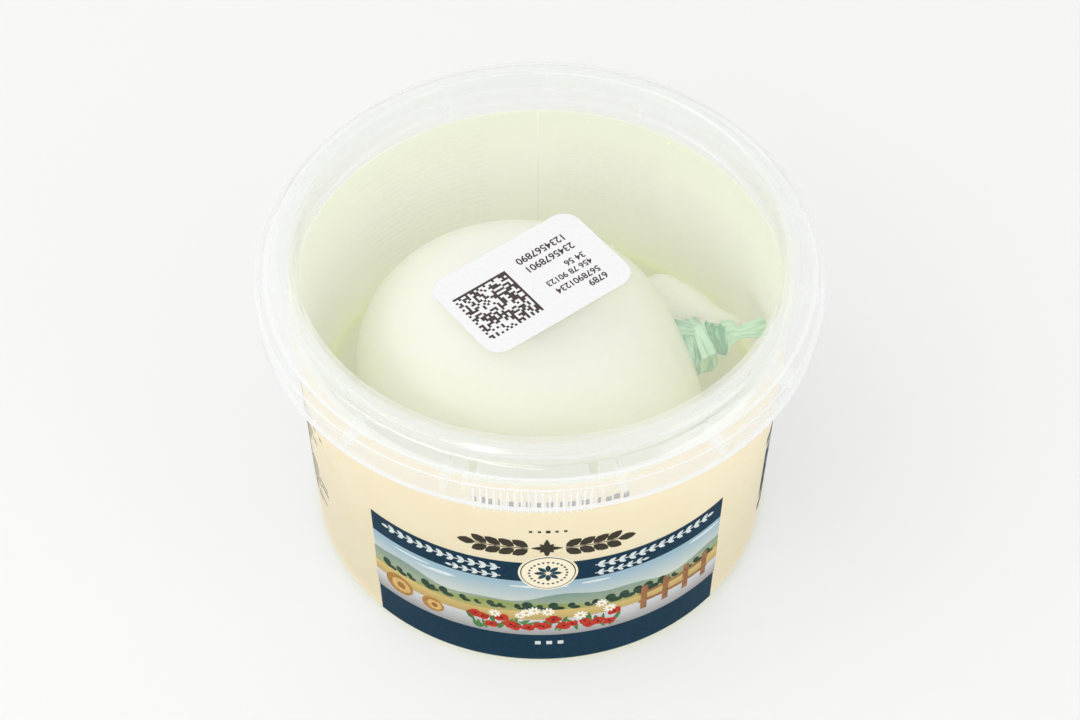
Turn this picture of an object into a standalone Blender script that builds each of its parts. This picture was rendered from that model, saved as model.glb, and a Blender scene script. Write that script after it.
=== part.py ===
"""A sealed tub of burrata: a round plastic tub with its lid, the cheese, its tie and the whey.

Metres, +Z up. The origin is the middle of the foot that the tub stands on, and -Y is the
front, where the guard ring has its tear tab. Sizes are written in millimetres times MM.
"""
import math

import bmesh
import bpy
from mathutils import Matrix, Vector

MM = 0.001
SEGMENTS = 48                   # facets round every turned piece
GAP = 0.3 * MM                  # left between pieces that touch or nest
MERGE = 0.00001                 # closes a turned piece at its axis

# Tub: wall, floor and foot
TUB_HEIGHT = 66.7 * MM
WALL = 0.8 * MM                 # moulded thickness of tub and lid
BASE_RADIUS = 43.1 * MM         # outside, at the foot
MOUTH_RADIUS = 44.85 * MM       # outside, at the web of the guard ring
FOOT_RISE = 0.8 * MM            # hollow under the floor
FOOT_WIDTH = 3.0 * MM
CORNER = 1.5 * MM               # rounding of the foot
INNER_CORNER = 3.0 * MM         # rounding where floor meets wall
EDGE_ROUND = 0.6 * MM           # rounding of the lip and of the ring's upper edge
LIP_CHAMFER = 0.45 * MM         # on the lip's inner edge
BEAD_WIDTH = 1.15 * MM          # how far the lip stands out of the wall
BEAD_HEIGHT = 2.4 * MM
BEAD_SLOPE = 0.7 * MM           # the bead's slanted underside

# Guard ring: a web out of the tub's wall with a skirt hanging from it
RING_RADIUS = 50.5 * MM
WEB_TOP = 62.4 * MM
SKIRT_BOTTOM = 56.6 * MM
RIB_THICKNESS = 0.7 * MM
RIB_DEPTH = 4.6 * MM            # how far a rib hangs below the web
TAB_TURN = -1.45                # degrees from the front to the middle of the tear tab
TAB_HALF = 12.75                # degrees from there to the tab's posts
POST_THICKNESS = 1.9 * MM
NEAR_RIBS = (17.85, 40.05, 62.25)   # degrees from the middle of the tab
FAR_RIB_COUNT = 5               # evenly spaced from the last near rib to the back

# Lid
LID_TOP = 67.8 * MM
PANEL_TOP = 60.6 * MM
RECESS_RADIUS = 42.93 * MM
SHOULDER_RADIUS = 47.1 * MM
LID_RADIUS = 49.0 * MM
LID_BOTTOM = WEB_TOP + GAP
PANEL_CORNER = 0.7 * MM         # rounding where the panel meets the recess
RIM_ROUND = 1.0 * MM            # rounding of the rim's inner edge
SHOULDER_ROUND = 2.0 * MM       # rounding of the rim's outer edge
STEP_TOP = 65.2 * MM            # a step stands out below the shoulder
STEP_WIDTH = 0.8 * MM
SKIRT_TOP = 64.4 * MM           # a second step, where the lid's skirt starts
SKIRT_SLOPE = 0.4 * MM
SKIRT_EDGE = 0.3 * MM
BEAD_ROOM = 0.75 * MM           # from the shoulder's radius in to the lid's inner face

# Sticker on the lid's panel
STICKER_LENGTH = 31.8 * MM
STICKER_WIDTH = 20.5 * MM
STICKER_THICKNESS = 0.15 * MM
STICKER_CORNER = 3.4 * MM
STICKER_CENTRE = (-1.4 * MM, -3.1 * MM)
STICKER_TURN = 37.5             # degrees

# Whey
WHEY_LEVEL = 57.2 * MM

# Burrata: a pouch with a shoulder, the neck out of it, and the folded end beyond the tie
POUCH_CENTRE = Vector((-4.4, -0.7, 27.9)) * MM
POUCH_RADII = Vector((29.4, 29.4, 27.0)) * MM
SHOULDER_LIFT = 7.4 * MM        # how far the shoulder stands out of the round pouch
SHOULDER_TURN = -15.0           # degrees from +X to the middle of the shoulder
SHOULDER_SPREAD = 31.0          # degrees over which it fades
NECK_CENTRE = Vector((28.2, 1.0, 28.3)) * MM
NECK_TURN = 22.0                # degrees from +X towards +Y
NECK_RADIUS = 6.3 * MM
DIMPLE_REACH = 12.0 * MM        # the dimple round the neck is cut this far out of the pouch
DIMPLE_FLARE = 2.0 * MM         # it widens this much over its first stretch
DIMPLE_MOUTH = 4.0 * MM         # beyond this it widens no more
FLOOR_CUT = 80.0 * MM           # side of the block that leaves the pouch flat underneath
NECK = (                        # middle of the neck and its radius, from inside the pouch
    ((16.0, -3.9, 28.0), 6.1),
    ((28.2, 1.0, 28.3), 6.0),
    ((31.2, 2.6, 28.7), 5.0),
    ((33.2, 4.0, 29.2), 4.1),
)
FOLD = (                        # the end of the pouch, folded back beside it
    ((34.4, 4.4, 29.4), 3.0),
    ((32.2, 9.4, 30.0), 4.2),
    ((28.2, 13.6, 30.0), 4.6),
    ((24.0, 16.4, 29.5), 3.8),
)

# Tie: a flat plastic ribbon round the neck
RIBBON_THICKNESS = 0.5 * MM
BAND_WIDTH = 3.6 * MM
KNOT_CENTRE = Vector((32.3, -1.2, 35.4)) * MM
KNOT_RADII = Vector((2.1, 2.3, 2.7)) * MM


def remove_all_objects():
    for item in list(bpy.data.objects):
        bpy.data.objects.remove(item, do_unlink=True)


def new_collection(name):
    made = bpy.data.collections.new(name)
    bpy.context.scene.collection.children.link(made)
    return made


def new_material(name, colour, roughness, metallic=0.0):
    """Colour is red, green and blue, with the alpha of a see-through piece as its fourth part."""
    material = bpy.data.materials.new(name)
    material.use_nodes = True
    shader = material.node_tree.nodes["Principled BSDF"]
    shader.inputs["Base Color"].default_value = (*colour[:3], 1.0)
    shader.inputs["Alpha"].default_value = colour[3] if len(colour) > 3 else 1.0
    shader.inputs["Roughness"].default_value = roughness
    shader.inputs["Metallic"].default_value = metallic
    return material


def add_object(name, mesh, home, material=None):
    item = bpy.data.objects.new(name, mesh)
    home.objects.link(item)
    if material:
        mesh.materials.append(material)
    return item


def as_cutter(item):
    item.hide_render = True
    item.display_type = "WIRE"
    return item


def arc(centre, radius, start, end, steps):
    """Points on an arc in the (r, z) plane, from start to end in degrees."""
    points = []
    for step in range(steps + 1):
        turn = math.radians(start + (end - start) * step / steps)
        points.append((centre[0] + radius * math.cos(turn), centre[1] + radius * math.sin(turn)))
    return points


def turned(name, profile, home, material=None):
    """A profile of (r, z) points turned round Z. It runs down its outer side."""
    mesh = bpy.data.meshes.new(name)
    shape = bmesh.new()
    corners = [shape.verts.new((r, 0.0, z)) for r, z in profile]
    for first, second in zip(corners, corners[1:]):
        shape.edges.new((first, second))
    shape.to_mesh(mesh)
    shape.free()
    item = add_object(name, mesh, home, material)
    screw = item.modifiers.new("turn", "SCREW")
    screw.steps = SEGMENTS
    screw.render_steps = SEGMENTS
    screw.use_merge_vertices = True
    screw.merge_threshold = MERGE
    screw.use_smooth_shade = True
    return item


def boolean(item, other, operation):
    step = item.modifiers.new(operation.lower(), "BOOLEAN")
    step.operation = operation
    step.solver = "EXACT"
    step.object = other
    return step


def wall_radius(height):
    """Outer radius of the tub's tapered wall."""
    return BASE_RADIUS + (MOUTH_RADIUS - BASE_RADIUS) * height / (WEB_TOP - WALL)


def inner_corner(radius_gap, bottom):
    """The rounding from floor to wall, seen from inside, kept radius_gap off the wall."""
    height = bottom + INNER_CORNER
    edge = wall_radius(height) - WALL - radius_gap
    return arc((edge - INNER_CORNER, height), INNER_CORNER, -90, 0, 4)


def tub_profile():
    floor = FOOT_RISE + WALL
    lip = MOUTH_RADIUS + BEAD_WIDTH
    bead_bottom = TUB_HEIGHT - BEAD_HEIGHT
    inside = MOUTH_RADIUS - WALL
    skirt_inside = RING_RADIUS - WALL
    foot_corner = (wall_radius(CORNER) - CORNER, CORNER)
    foot_inside = foot_corner[0] - FOOT_WIDTH
    profile = [(0.0, floor)]
    profile += inner_corner(0.0, floor)
    profile += [(inside, WEB_TOP - WALL), (inside, TUB_HEIGHT - LIP_CHAMFER)]
    profile += [(inside + LIP_CHAMFER, TUB_HEIGHT), (lip - EDGE_ROUND, TUB_HEIGHT)]
    profile += [(lip, TUB_HEIGHT - EDGE_ROUND), (lip, bead_bottom + BEAD_SLOPE)]
    profile += [(MOUTH_RADIUS, bead_bottom), (MOUTH_RADIUS, WEB_TOP)]
    profile += arc((RING_RADIUS - EDGE_ROUND, WEB_TOP - EDGE_ROUND), EDGE_ROUND, 90, 0, 2)
    profile += [(RING_RADIUS, SKIRT_BOTTOM), (skirt_inside, SKIRT_BOTTOM)]
    profile += [(skirt_inside, WEB_TOP - WALL), (MOUTH_RADIUS, WEB_TOP - WALL)]
    profile += arc(foot_corner, CORNER, 0, -90, 3)
    profile += [(foot_inside, 0.0), (foot_inside - FOOT_RISE, FOOT_RISE), (0.0, FOOT_RISE)]
    return profile


def rib(name, turn, thickness, home):
    """An upright web between the tub's wall and the skirt of the guard ring."""
    inner = wall_radius(SKIRT_BOTTOM) - 0.5 * WALL
    outer = RING_RADIUS - 0.5 * WALL
    top = WEB_TOP - 0.5 * WALL
    bottom = WEB_TOP - WALL - RIB_DEPTH
    shape = bmesh.new()
    bmesh.ops.create_cube(shape, size=1.0)
    size = Matrix.Diagonal((thickness, outer - inner, top - bottom, 1.0))
    place = Matrix.Translation((0.0, -(inner + outer) / 2, (top + bottom) / 2))
    swing = Matrix.Rotation(math.radians(turn), 4, "Z")
    bmesh.ops.transform(shape, matrix=swing @ place @ size, verts=shape.verts)
    mesh = bpy.data.meshes.new(name)
    shape.to_mesh(mesh)
    shape.free()
    return as_cutter(add_object(name, mesh, home))


def rib_turns():
    last = NEAR_RIBS[-1]
    step = (180.0 - last) / FAR_RIB_COUNT
    turns = list(NEAR_RIBS) + [last + step * count for count in range(1, FAR_RIB_COUNT)]
    return [TAB_TURN + side * turn for turn in turns for side in (-1, 1)] + [TAB_TURN + 180.0]


def make_tub(home, cutters, material):
    tub = turned("tub", tub_profile(), home, material)
    for count, turn in enumerate(rib_turns()):
        boolean(tub, rib(f"rib_{count}", turn, RIB_THICKNESS, cutters), "UNION")
    for side in (-1, 1):
        post = rib(f"tab_post_{side}", TAB_TURN + side * TAB_HALF, POST_THICKNESS, cutters)
        boolean(tub, post, "UNION")
    return tub


def lid_profile():
    """The panel, recess, rim and stepped skirt, then back along the inside."""
    rim_under = LID_TOP - WALL
    plug = RECESS_RADIUS + WALL
    inside = SHOULDER_RADIUS - BEAD_ROOM
    skirt_inside = LID_RADIUS - WALL
    profile = [(0.0, PANEL_TOP)]
    profile += arc((RECESS_RADIUS - PANEL_CORNER, PANEL_TOP + PANEL_CORNER), PANEL_CORNER, -90, 0, 2)
    profile += arc((RECESS_RADIUS + RIM_ROUND, LID_TOP - RIM_ROUND), RIM_ROUND, 180, 90, 3)
    shoulder = (SHOULDER_RADIUS - SHOULDER_ROUND, LID_TOP - SHOULDER_ROUND)
    profile += arc(shoulder, SHOULDER_ROUND, 90, 0, 3)
    profile += [(SHOULDER_RADIUS + STEP_WIDTH, STEP_TOP), (LID_RADIUS - STEP_WIDTH, SKIRT_TOP)]
    profile += [(LID_RADIUS - SKIRT_SLOPE, SKIRT_TOP - SKIRT_SLOPE)]
    profile += [(LID_RADIUS, LID_BOTTOM + SKIRT_EDGE), (LID_RADIUS, LID_BOTTOM)]
    profile += [(skirt_inside, LID_BOTTOM), (skirt_inside - SKIRT_SLOPE, SKIRT_TOP - WALL)]
    profile += [(inside, STEP_TOP - SKIRT_SLOPE), (inside, rim_under - BEAD_ROOM)]
    profile += [(inside - BEAD_ROOM, rim_under), (plug + SKIRT_EDGE, rim_under)]
    profile += [(plug, rim_under - SKIRT_EDGE), (plug, PANEL_TOP)]
    profile += [(RECESS_RADIUS, PANEL_TOP - WALL), (0.0, PANEL_TOP - WALL)]
    return profile


def make_sticker(home, material):
    """A paper label with round corners, a flat outline given its thickness."""
    outline = bpy.data.curves.new("sticker_outline", "CURVE")
    outline.dimensions = "2D"
    outline.fill_mode = "BOTH"
    outline.extrude = STICKER_THICKNESS / 2
    points = []
    for count, (across, up) in enumerate(((1, 1), (-1, 1), (-1, -1), (1, -1))):
        middle = (
            across * (STICKER_LENGTH / 2 - STICKER_CORNER),
            up * (STICKER_WIDTH / 2 - STICKER_CORNER),
        )
        points += arc(middle, STICKER_CORNER, 90 * count, 90 * count + 90, 4)
    line = outline.splines.new("POLY")
    line.points.add(len(points) - 1)
    for spot, (x, y) in zip(line.points, points):
        spot.co = (x, y, 0.0, 1.0)
    line.use_cyclic_u = True
    base = PANEL_TOP + STICKER_THICKNESS
    place = Matrix.Translation((*STICKER_CENTRE, base + STICKER_THICKNESS / 2))
    item = curve_to_mesh("sticker", outline, home, material)
    item.matrix_world = place @ Matrix.Rotation(math.radians(STICKER_TURN), 4, "Z")
    return item


def curve_to_mesh(name, curve, home, material=None):
    """The curve as a closed mesh, its caps welded."""
    guide = bpy.data.objects.new(name + "_guide", curve)
    home.objects.link(guide)
    graph = bpy.context.evaluated_depsgraph_get()
    mesh = bpy.data.meshes.new_from_object(guide.evaluated_get(graph))
    bpy.data.objects.remove(guide, do_unlink=True)
    mesh.name = name
    shape = bmesh.new()
    shape.from_mesh(mesh)
    bmesh.ops.remove_doubles(shape, verts=shape.verts, dist=MERGE)
    bmesh.ops.recalc_face_normals(shape, faces=shape.faces)
    shape.to_mesh(mesh)
    shape.free()
    mesh.materials.clear()
    return add_object(name, mesh, home, material)


def ball(name, centre, radii, home):
    mesh = bpy.data.meshes.new(name)
    shape = bmesh.new()
    bmesh.ops.create_uvsphere(shape, u_segments=12, v_segments=8, radius=1.0)
    place = Matrix.Translation(centre) @ Matrix.Diagonal((*radii, 1.0))
    bmesh.ops.transform(shape, matrix=place, verts=shape.verts)
    shape.to_mesh(mesh)
    shape.free()
    return add_object(name, mesh, home)


def soft_tube(name, route, grow, home):
    """A tapered tube with a round end, along a smooth curve."""
    curve = bpy.data.curves.new(name, "CURVE")
    curve.dimensions = "3D"
    curve.bevel_depth = 1.0
    curve.bevel_resolution = 2
    curve.use_fill_caps = True
    line = curve.splines.new("POLY")
    middle = [Vector(place) * MM for place, _ in route]
    radii = [radius * MM for _, radius in route]
    samples = smooth_samples(middle, radii, 3)
    last = samples[-1]
    ahead = (last[0] - samples[-2][0]).normalized()
    for share, shrink in ((0.55, 0.82), (0.85, 0.5)):
        samples.append((last[0] + ahead * (last[1] * share + grow), last[1] * shrink))
    line.points.add(len(samples) - 1)
    for spot, (place, radius) in zip(line.points, samples):
        spot.co = (*place, 1.0)
        spot.radius = radius + grow
    return curve_to_mesh(name, curve, home)


def smooth_samples(points, radii, steps):
    """Catmull-Rom samples of the points and their radii."""
    last = len(points) - 1
    samples = []
    for index in range(last):
        around = [min(max(index + shift, 0), last) for shift in (-1, 0, 1, 2)]
        for step in range(steps):
            share = step / steps
            weights = catmull_rom(share)
            place = sum((points[i] * w for i, w in zip(around, weights)), Vector())
            radius = sum(radii[i] * w for i, w in zip(around, weights))
            samples.append((place, radius))
    samples.append((points[-1], radii[-1]))
    return samples


def catmull_rom(share):
    square, cube = share * share, share * share * share
    return (
        0.5 * (-share + 2 * square - cube),
        0.5 * (2 - 5 * square + 3 * cube),
        0.5 * (share + 4 * square - 3 * cube),
        0.5 * (cube - square),
    )


def neck_dimple(name, home):
    """The space that the tie pulls in round the neck, where the pouch is drawn together."""
    back = -BAND_WIDTH / 2 - 2 * GAP
    seat = NECK_RADIUS + RIBBON_THICKNESS + 3 * GAP
    flare = seat + DIMPLE_FLARE
    mouth = flare + DIMPLE_FLARE
    profile = [(0.0, DIMPLE_REACH), (mouth, DIMPLE_REACH), (mouth, DIMPLE_MOUTH)]
    profile += [(flare, 0.0), (seat, back), (0.0, back)]
    item = turned(name, profile, home)
    item.modifiers["turn"].steps = 24
    item.modifiers["turn"].render_steps = 24
    item.matrix_world = neck_matrix()
    return as_cutter(item)


def pouch_reach(toward):
    """How far the pouch reaches from its centre in a direction: an ellipsoid and its shoulder."""
    round_part = 1.0 / Vector([part / radius for part, radius in zip(toward, POUCH_RADII)]).length
    middle = Matrix.Rotation(math.radians(SHOULDER_TURN), 3, "Z") @ Vector((1.0, 0.0, 0.0))
    away = math.degrees(toward.angle(middle)) / SHOULDER_SPREAD
    return round_part + SHOULDER_LIFT * math.exp(-away * away)


def pouch(name, grow, home, material=None):
    """The rounded bag of cheese, before its neck is drawn together."""
    mesh = bpy.data.meshes.new(name)
    shape = bmesh.new()
    bmesh.ops.create_uvsphere(shape, u_segments=32, v_segments=18, radius=1.0)
    for corner in shape.verts:
        toward = corner.co.normalized()
        corner.co = POUCH_CENTRE + toward * (pouch_reach(toward) + grow)
    shape.to_mesh(mesh)
    shape.free()
    mesh.shade_smooth()
    return add_object(name, mesh, home, material)


def pouch_and_tail(name, grow, home, cutters, material=None):
    """The pouch, its neck and its folded end, all let out by grow."""
    item = pouch(name, grow, home, material)
    if grow == 0.0:
        boolean(item, neck_dimple(name + "_dimple", cutters), "DIFFERENCE")
    boolean(item, as_cutter(soft_tube(name + "_neck", NECK, grow, cutters)), "UNION")
    boolean(item, as_cutter(soft_tube(name + "_fold", FOLD, grow, cutters)), "UNION")
    return item


def make_burrata(home, cutters, material):
    """The cheese in one body, flat where it lies on the tub's floor."""
    item = pouch_and_tail("burrata", 0.0, home, cutters, material)
    shape = bmesh.new()
    bmesh.ops.create_cube(shape, size=FLOOR_CUT)
    top = FOOT_RISE + WALL + GAP
    bmesh.ops.translate(shape, vec=(0.0, 0.0, top - FLOOR_CUT / 2), verts=shape.verts)
    mesh = bpy.data.meshes.new("floor_cut")
    shape.to_mesh(mesh)
    shape.free()
    boolean(item, as_cutter(add_object("floor_cut", mesh, cutters)), "DIFFERENCE")
    return item


def let_out(rows, grow):
    """The rows of edge points in metres, the strip let out by grow all round."""
    lines = [[Vector(point) * MM for point in row] for row in rows]
    middles = [(left + right) / 2 for left, right in lines]
    ends = {
        0: (middles[0] - middles[1]).normalized() * grow,
        len(lines) - 1: (middles[-1] - middles[-2]).normalized() * grow,
    }
    wider = []
    for index, (left, right) in enumerate(lines):
        aside = (right - left).normalized() * grow
        along = ends.get(index, Vector())
        wider.append((left - aside + along, right + aside + along))
    return wider


def ribbon(name, rows, grow, home):
    """A flat strip through rows of edge points, given its thickness."""
    mesh = bpy.data.meshes.new(name)
    shape = bmesh.new()
    lines = [[shape.verts.new(point) for point in row] for row in let_out(rows, grow)]
    for first, second in zip(lines, lines[1:]):
        shape.faces.new((first[0], first[1], second[1], second[0]))
    shape.to_mesh(mesh)
    shape.free()
    item = add_object(name, mesh, home)
    skin = item.modifiers.new("thickness", "SOLIDIFY")
    skin.thickness = RIBBON_THICKNESS + 2 * grow
    skin.offset = 0.0
    return as_cutter(item)


def neck_matrix():
    """Turns +Z to the neck's direction and moves the origin to the neck."""
    lean = Matrix.Rotation(math.radians(90), 4, "Y")
    return Matrix.Translation(NECK_CENTRE) @ Matrix.Rotation(math.radians(NECK_TURN), 4, "Z") @ lean


def make_tie(name, grow, home, cutters, material=None):
    """The band round the neck, the knot beside it, and the ribbon's two loose ends."""
    inner = NECK_RADIUS + GAP - grow
    outer = NECK_RADIUS + GAP + RIBBON_THICKNESS + grow
    half = BAND_WIDTH / 2 + grow
    profile = [(inner, -half), (inner, half), (outer, half), (outer, -half), (inner, -half)]
    item = turned(name, profile, home, material)
    item.modifiers["turn"].steps = 32
    item.modifiers["turn"].render_steps = 32
    item.matrix_world = neck_matrix()
    spread = Vector((grow, grow, grow))
    knot = as_cutter(ball(name + "_knot", KNOT_CENTRE, KNOT_RADII + spread, cutters))
    boolean(item, knot, "UNION")
    for part, rows in ribbon_rows().items():
        boolean(item, ribbon(f"{name}_{part}", rows, grow, cutters), "UNION")
    return item


def ribbon_rows():
    """Edge points of each loose stretch of ribbon, in millimetres."""
    strap = (
        ((27.2, 4.2, 34.2), (28.8, 0.6, 35.2)),
        ((29.4, 2.6, 35.6), (30.0, -1.0, 35.6)),
        ((31.8, 0.4, 35.9), (31.8, -2.4, 35.3)),
    )
    tail = (
        ((32.6, 0.8, 36.4), (32.8, -3.0, 34.2)),
        ((35.6, 1.4, 36.4), (35.4, -2.6, 34.2)),
        ((37.4, 0.6, 36.0), (37.4, -1.2, 34.8)),
        ((39.6, 1.6, 36.2), (39.9, -1.4, 34.4)),
        ((41.4, 2.8, 36.4), (41.6, -1.4, 34.2)),
    )
    flap = (
        ((31.4, -0.6, 36.0), (31.6, -2.6, 35.2)),
        ((30.4, -2.8, 35.8), (31.9, -4.5, 34.8)),
        ((29.6, -5.6, 35.2), (32.2, -7.0, 34.2)),
    )
    return {"strap": strap, "tail": tail, "flap": flap}


def make_whey(home, cutters, material):
    """The liquid: it fills the tub to its level, round the cheese and its tie."""
    bottom = FOOT_RISE + WALL + GAP
    edge = wall_radius(WHEY_LEVEL) - WALL - GAP
    profile = [(0.0, WHEY_LEVEL), (edge, WHEY_LEVEL)]
    profile += reversed(inner_corner(GAP, bottom))
    profile += [(0.0, bottom)]
    whey = turned("whey", profile, home, material)
    hollow = pouch_and_tail("burrata_space", GAP, cutters, cutters)
    boolean(whey, as_cutter(hollow), "DIFFERENCE")
    boolean(whey, as_cutter(make_tie("tie_space", GAP, cutters, cutters)), "DIFFERENCE")
    return whey


def main():
    remove_all_objects()
    parts = new_collection("burrata_tub")
    cutters = new_collection("cutters")
    clear = new_material("clear_polypropylene", (0.90, 0.91, 0.90, 0.35), 0.25)
    make_tub(parts, cutters, clear)
    turned("lid", lid_profile(), parts, clear)
    make_sticker(parts, new_material("white_paper", (0.93, 0.93, 0.94), 0.6))
    make_burrata(parts, cutters, new_material("burrata_skin", (0.90, 0.88, 0.76), 0.35))
    make_tie("tie", 0.0, parts, cutters, new_material("green_ribbon", (0.36, 0.72, 0.52), 0.4))
    make_whey(parts, cutters, new_material("whey", (0.86, 0.89, 0.72, 0.3), 0.05))


main()
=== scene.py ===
import math
import random

import bpy
from mathutils import Matrix, Vector, noise


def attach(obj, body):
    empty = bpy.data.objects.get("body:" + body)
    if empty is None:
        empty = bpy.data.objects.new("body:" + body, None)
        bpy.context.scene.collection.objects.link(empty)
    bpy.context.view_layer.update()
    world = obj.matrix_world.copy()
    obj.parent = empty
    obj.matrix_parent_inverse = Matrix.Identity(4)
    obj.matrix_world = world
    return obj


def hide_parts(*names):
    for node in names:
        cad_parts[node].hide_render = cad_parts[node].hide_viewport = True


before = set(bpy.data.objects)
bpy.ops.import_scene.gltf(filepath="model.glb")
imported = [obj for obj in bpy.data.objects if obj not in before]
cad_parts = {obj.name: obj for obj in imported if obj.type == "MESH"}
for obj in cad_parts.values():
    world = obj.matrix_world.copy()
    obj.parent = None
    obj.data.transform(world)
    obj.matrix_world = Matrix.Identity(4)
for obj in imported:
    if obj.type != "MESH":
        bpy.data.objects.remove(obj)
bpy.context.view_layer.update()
mm = 0.001
print("frame loaded:", sorted(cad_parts))


# small helpers

def deselectAll():
    if bpy.context.mode != "OBJECT":
        bpy.ops.object.mode_set(mode="OBJECT")
    bpy.ops.object.select_all(action="DESELECT")


def pickOnly(piece):
    deselectAll()
    piece.select_set(True)
    bpy.context.view_layer.objects.active = piece


def named(name):
    piece = bpy.context.object
    piece.name = piece.data.name = name
    return piece


def joinPieces(pieces, name):
    pickOnly(pieces[0])
    for piece in pieces[1:]:
        piece.select_set(True)
    if len(pieces) > 1:
        bpy.ops.object.join()
    return named(name)


def applyModifier(piece, kind, **settings):
    pickOnly(piece)
    modifier = piece.modifiers.new(kind.lower(), kind)
    for key, value in settings.items():
        setattr(modifier, key, value)
    bpy.ops.object.modifier_apply(modifier=modifier.name)
    return piece


def applyPlace(piece):
    pickOnly(piece)
    bpy.ops.object.transform_apply(location=True, rotation=True, scale=True)
    return piece


def moveVertices(piece, place):
    # place takes a vertex's position and gives its new one
    for vertex in piece.data.vertices:
        vertex.co = place(vertex.co.copy())
    piece.data.update()
    return piece


def copiesAt(pattern, places):
    # one copy of a piece, with its own mesh, at each place; the pattern itself is used up
    copies = []
    for place in places:
        copy = pattern.copy()
        copy.data = pattern.data.copy()
        bpy.context.collection.objects.link(copy)
        copy.data.transform(place)
        copies.append(copy)
    bpy.data.objects.remove(pattern)
    return copies


def arcPoints(centre, radius, start, end, steps):
    points = []
    for step in range(steps + 1):
        turn = math.radians(start + (end - start) * step / steps)
        points.append((centre[0] + radius * math.cos(turn), centre[1] + radius * math.sin(turn)))
    return points


def turnedPiece(name, outline, steps=192, sharp=40):
    # the outline holds (radius, height) in mm: drawn point by point, then spun once round Z
    deselectAll()
    bpy.ops.mesh.primitive_plane_add(size=mm, location=(0, 0, 0))
    piece = named(name)
    bpy.ops.object.mode_set(mode="EDIT")
    bpy.ops.mesh.select_all(action="SELECT")
    bpy.ops.mesh.merge(type="CENTER")
    bpy.ops.transform.translate(value=(outline[0][0] * mm, 0, outline[0][1] * mm))
    for (r0, z0), (r1, z1) in zip(outline, outline[1:]):
        reach = ((r1 - r0) * mm, 0, (z1 - z0) * mm)
        bpy.ops.mesh.extrude_vertices_move(TRANSFORM_OT_translate={"value": reach})
    bpy.ops.mesh.select_all(action="SELECT")
    bpy.ops.mesh.spin(steps=steps, angle=2 * math.pi, center=(0, 0, 0), axis=(0, 0, 1))
    bpy.ops.mesh.select_all(action="SELECT")
    bpy.ops.mesh.remove_doubles(threshold=mm / 1000)
    bpy.ops.mesh.normals_make_consistent(inside=False)
    bpy.ops.object.mode_set(mode="OBJECT")
    bpy.ops.object.shade_smooth_by_angle(angle=math.radians(sharp))
    return piece


# material helpers

def colour(code):
    # sRGB hex to the linear values that the shaders take
    parts = [int(code[i:i + 2], 16) / 255 for i in (1, 3, 5)]
    return tuple(p / 12.92 if p <= 0.04045 else ((p + 0.055) / 1.055) ** 2.4 for p in parts) + (1,)


def addNode(tree, kind, settings=None, links=None):
    node = tree.nodes.new(kind)
    for key, value in (settings or {}).items():
        if isinstance(key, int) or key in node.inputs:
            node.inputs[key].default_value = value
        else:
            setattr(node, key, value)
    for key, source in (links or {}).items():
        tree.links.new(source, node.inputs[key])
    return node


def newMaterial(name, **settings):
    # a material whose Principled shader takes the settings, spaces written as underscores
    material = bpy.data.materials.new(name)
    material.use_nodes = True
    tree = material.node_tree
    shader = tree.nodes["Principled BSDF"]
    for key, value in settings.items():
        shader.inputs[key.replace("_", " ")].default_value = value
    return material, tree, shader


def dress(piece, *materials):
    piece.data.materials.clear()
    for material in materials:
        piece.data.materials.append(material)
    return piece


def letLampsThrough(material, tint, rays=("Is Diffuse Ray", "Is Shadow Ray")):
    # lamps and bounced light pass straight through the clear stuff, as they nearly do in the real thing
    tree = material.node_tree
    output = tree.nodes["Material Output"]
    surface = output.inputs["Surface"].links[0].from_socket
    path = addNode(tree, "ShaderNodeLightPath")
    clear = addNode(tree, "ShaderNodeBsdfTransparent", {"Color": tint})
    for ray in rays:
        mix = addNode(tree, "ShaderNodeMixShader", {}, {0: path.outputs[ray], 1: surface, 2: clear.outputs[0]})
        surface = mix.outputs[0]
    tree.links.new(surface, output.inputs["Surface"])


def objectSpot(tree):
    return addNode(tree, "ShaderNodeTexCoord").outputs["Object"]


def noiseField(tree, size, detail=2.0, spot=None):
    # even noise whose lumps are about size mm across
    return addNode(
        tree, "ShaderNodeTexNoise", {"Scale": 1000 / size, "Detail": detail},
        {"Vector": spot or objectSpot(tree)}).outputs["Fac"]


def ringSpot(tree):
    # distance from the axis and height, so that a pattern runs in rings round the tub
    parts = addNode(tree, "ShaderNodeSeparateXYZ", {}, {0: objectSpot(tree)})
    flat = addNode(tree, "ShaderNodeCombineXYZ", {}, {0: parts.outputs[0], 1: parts.outputs[1]})
    away = addNode(tree, "ShaderNodeVectorMath", {"operation": "LENGTH"}, {0: flat.outputs[0]})
    return addNode(
        tree, "ShaderNodeCombineXYZ", {}, {0: away.outputs["Value"], 2: parts.outputs[2]}).outputs[0]


def spread(tree, source, low, high, fromLow=0.3, fromHigh=0.7):
    return addNode(
        tree, "ShaderNodeMapRange",
        {"From Min": fromLow, "From Max": fromHigh, "To Min": low, "To Max": high}, {"Value": source}).outputs[0]


def blendColours(tree, share, codeA, codeB, between=()):
    # from one colour to another, by way of those between, each a place from 0 to 1 and its colour
    ramp = addNode(tree, "ShaderNodeValToRGB", {}, {0: share})
    ramp.color_ramp.elements[0].color = colour(codeA)
    ramp.color_ramp.elements[1].color = colour(codeB)
    for place, code in between:
        ramp.color_ramp.elements.new(place).color = colour(code)
    return ramp.outputs["Color"]


def bumpFrom(tree, source, depth):
    # a relief depth mm high
    return addNode(
        tree, "ShaderNodeBump", {"Strength": 1.0, "Distance": depth * mm}, {"Height": source}).outputs[0]


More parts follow.
